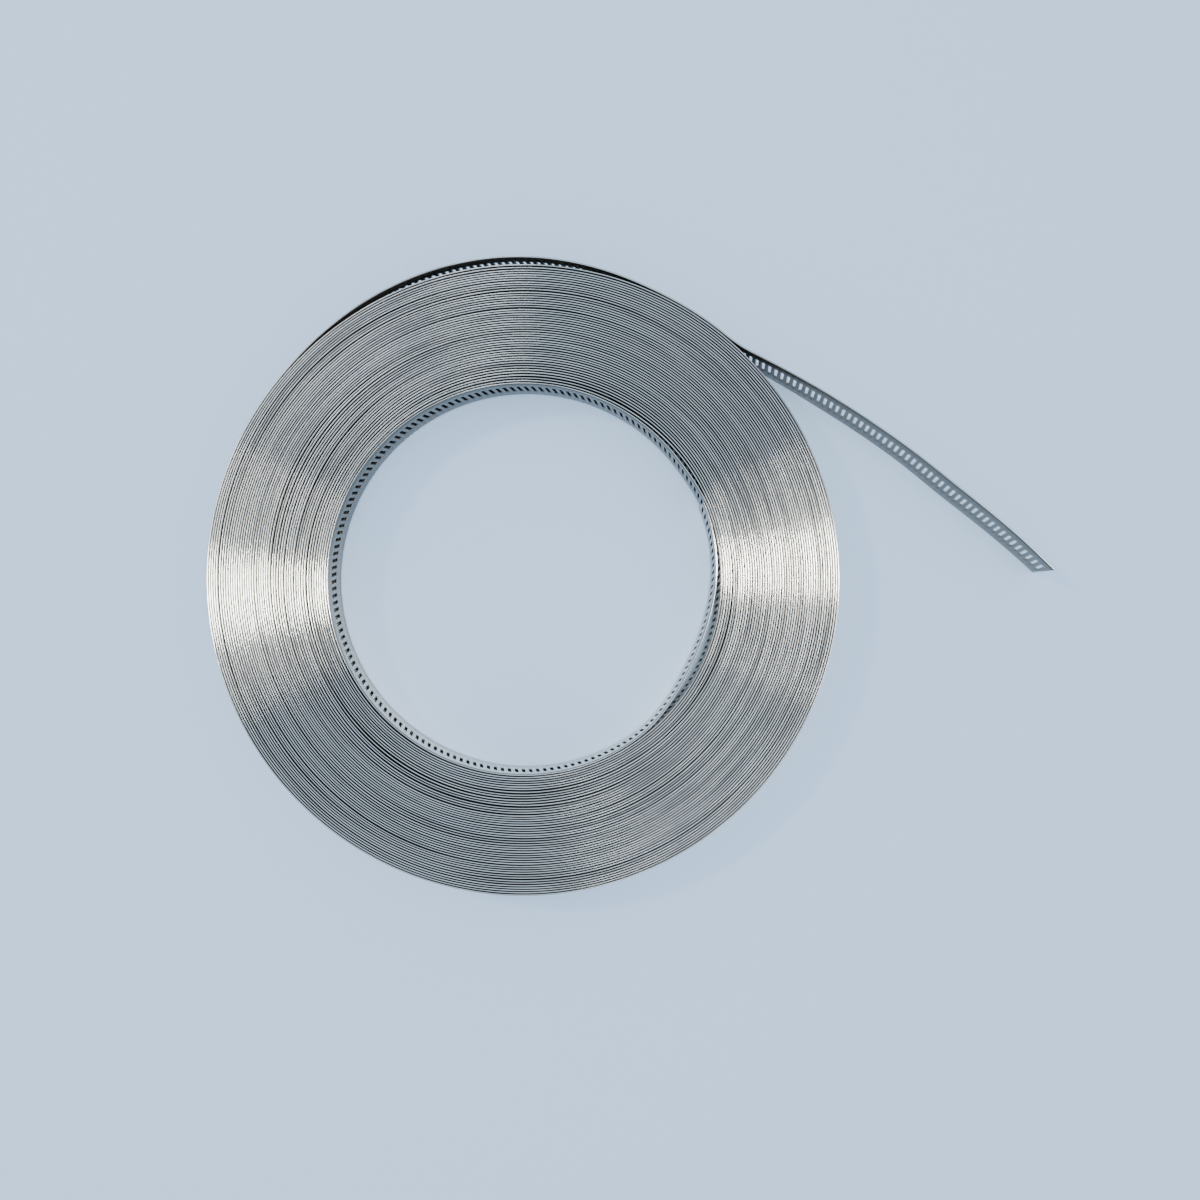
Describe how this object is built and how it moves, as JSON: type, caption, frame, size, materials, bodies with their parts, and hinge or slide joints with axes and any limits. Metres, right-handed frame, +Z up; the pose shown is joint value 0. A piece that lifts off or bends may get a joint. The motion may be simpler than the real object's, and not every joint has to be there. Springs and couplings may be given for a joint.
{
  "type": "roll of steel banding",
  "caption": "Flat-lying roll of slotted steel banding for worm-drive clamps, wound in many close turns round an open core, with a springy free end standing on edge.",
  "frame": {"origin": "on the coil's axis, in the plane that the roll lies on", "axes": "+Z up along the coil's axis, +X to the right in the picture, on the side the free end points to, +Y away from the viewer"},
  "size_m": [0.2452, 0.1862, 0.0127],
  "materials": {
    "band_steel": "bright rolled steel"
  },
  "bodies": {
    "root": {"steel_banding": "band_steel"}
  },
  "joints": []
}
